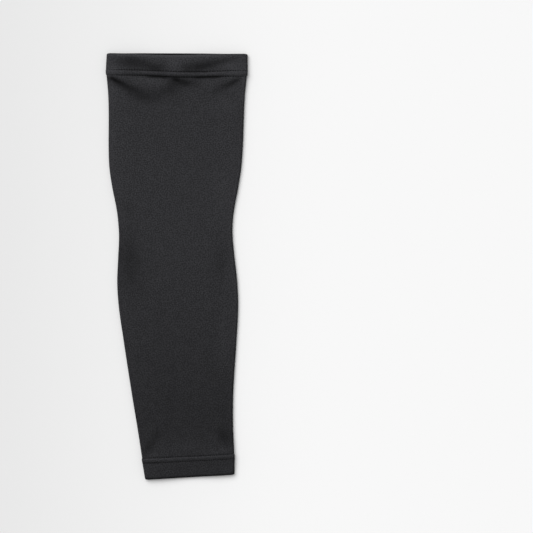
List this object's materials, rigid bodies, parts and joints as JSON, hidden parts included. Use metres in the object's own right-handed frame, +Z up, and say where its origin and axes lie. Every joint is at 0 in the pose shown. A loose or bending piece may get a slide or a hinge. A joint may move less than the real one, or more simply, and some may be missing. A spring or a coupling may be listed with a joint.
{
  "type": "arm sleeve",
  "caption": "Soft knitted arm sleeve, a tapered tube from upper arm to wrist, open at each end, narrowed at the elbow, with a folded stitched hem at the upper arm and at the wrist, lying flat.",
  "frame": {"origin": "on the surface that the sleeve lies on, under the middle of its footprint", "axes": "+X across the sleeve to the right, +Y along it to the upper-arm mouth, +Z up through its two layers"},
  "size_m": [0.142, 0.4268, 0.0111],
  "materials": {
    "black_knit": "matte",
    "folded_knit": "matte",
    "sewing_thread": "satin"
  },
  "bodies": {
    "root": {"sleeve_body": "black_knit", "upper_hem": "folded_knit", "wrist_hem": "folded_knit"}
  },
  "joints": []
}
